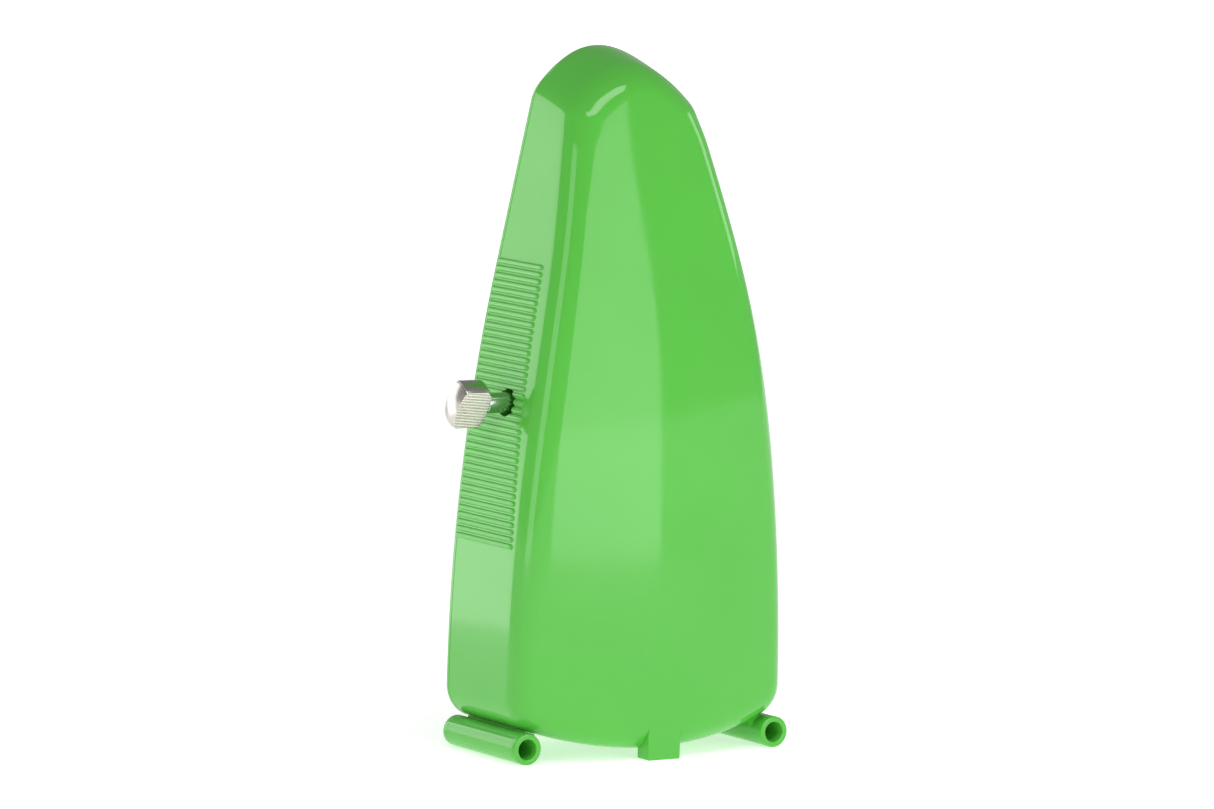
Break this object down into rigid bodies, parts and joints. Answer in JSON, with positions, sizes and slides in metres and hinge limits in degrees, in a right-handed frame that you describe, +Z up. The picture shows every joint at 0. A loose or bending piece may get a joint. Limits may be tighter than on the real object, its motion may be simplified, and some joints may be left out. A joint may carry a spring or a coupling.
{
  "type": "metronome",
  "caption": "Pocket clockwork metronome: tall tapered moulded case, side winding key, upright pendulum with a sliding weight, and foot tubes.",
  "frame": {"origin": "centre of the rear foot's flat sole, on the surface that the metronome stands on", "axes": "+Z up, +X towards the winding key, -Y towards the pendulum and dial"},
  "size_m": [0.0826, 0.0453, 0.16],
  "materials": {
    "green_case": "glossy moulded plastic",
    "dial": "satin printed plastic",
    "clip_plastic": "satin moulded plastic",
    "nickel": "nickel plated, turned",
    "steel": "polished steel",
    "screw_steel": "bright zinc",
    "frame_brass": "brushed brass",
    "wheel_brass": "machined brass",
    "spring_steel": "blued spring steel",
    "weight_metal": "nickel plated, satin"
  },
  "bodies": {
    "case": {"rear_case": "green_case", "foot_tube_left": "green_case", "foot_tube_right": "green_case", "front_frame": "green_case", "front_apron": "green_case", "dial_plate": "dial", "dial_pins": "steel", "apron_screws": "screw_steel", "pendulum_clip": "clip_plastic", "clip_screw": "screw_steel", "side_plate_left": "frame_brass", "side_plate_right": "frame_brass", "plate_pillars": "steel", "pillar_screws": "screw_steel", "front_bridge": "frame_brass", "rear_bridge": "frame_brass", "upper_strap": "frame_brass", "movement_screws": "screw_steel", "crown_cock": "frame_brass", "cock_screws": "screw_steel", "arbor_bushes": "wheel_brass", "click_screw": "screw_steel", "click_spring": "spring_steel"},
    "key": {"key_head": "nickel", "key_stem": "steel", "winding_arbor": "steel", "ratchet_wheel": "steel"},
    "click": {"click": "steel"},
    "barrel": {"spring_barrel": "wheel_brass", "barrel_cap": "wheel_brass", "great_wheel": "wheel_brass", "mainspring": "spring_steel"},
    "centre": {"centre_arbor": "steel", "centre_wheel": "wheel_brass", "centre_pinion": "steel"},
    "crown": {"crown_arbor": "steel", "crown_wheel": "wheel_brass", "crown_pinion": "steel"},
    "pendulum": {"verge": "steel", "pallets": "steel", "pendulum_hub": "wheel_brass", "hub_screw": "screw_steel", "pendulum_rod": "steel", "lower_bob": "wheel_brass", "bob_screw": "screw_steel"},
    "weight": {"sliding_weight": "weight_metal", "weight_spring": "spring_steel"}
  },
  "joints": [
    {"name": "key_turn", "type": "hinge", "parent": "case", "child": "key", "pos_m": [0.03, -0.0186, 0.0806], "axis": [1, 0, 0], "continuous": true},
    {"name": "click_lift", "type": "hinge", "parent": "case", "child": "click", "pos_m": [0.0212, -0.013, 0.0898], "axis": [1, 0, 0], "range_deg": [-9, 0], "stiffness_Nm_per_rad": 0.0002, "springref_deg": 5.73},
    {"name": "barrel_turn", "type": "hinge", "parent": "case", "child": "barrel", "pos_m": [0.01, -0.0186, 0.0806], "axis": [1, 0, 0], "continuous": true},
    {"name": "centre_turn", "type": "hinge", "parent": "case", "child": "centre", "pos_m": [0, -0.0186, 0.0666], "axis": [1, 0, 0], "continuous": true},
    {"name": "crown_turn", "type": "hinge", "parent": "case", "child": "crown", "pos_m": [-0.01, -0.0186, 0.0536], "axis": [1, 0, 0], "continuous": true},
    {"name": "pendulum_swing", "type": "hinge", "parent": "case", "child": "pendulum", "pos_m": [0, -0.0382, 0.0536], "axis": [0, 1, 0], "range_deg": [-20, 20]},
    {"name": "weight_slide", "type": "slide", "parent": "pendulum", "child": "weight", "axis": [0, 0, 1], "range_m": [-0.038, 0.0265]}
  ],
  "couplings": [
    {"joint": "centre_turn", "follows": "barrel_turn", "ratio": -3.6667},
    {"joint": "crown_turn", "follows": "barrel_turn", "ratio": 12.222}
  ]
}
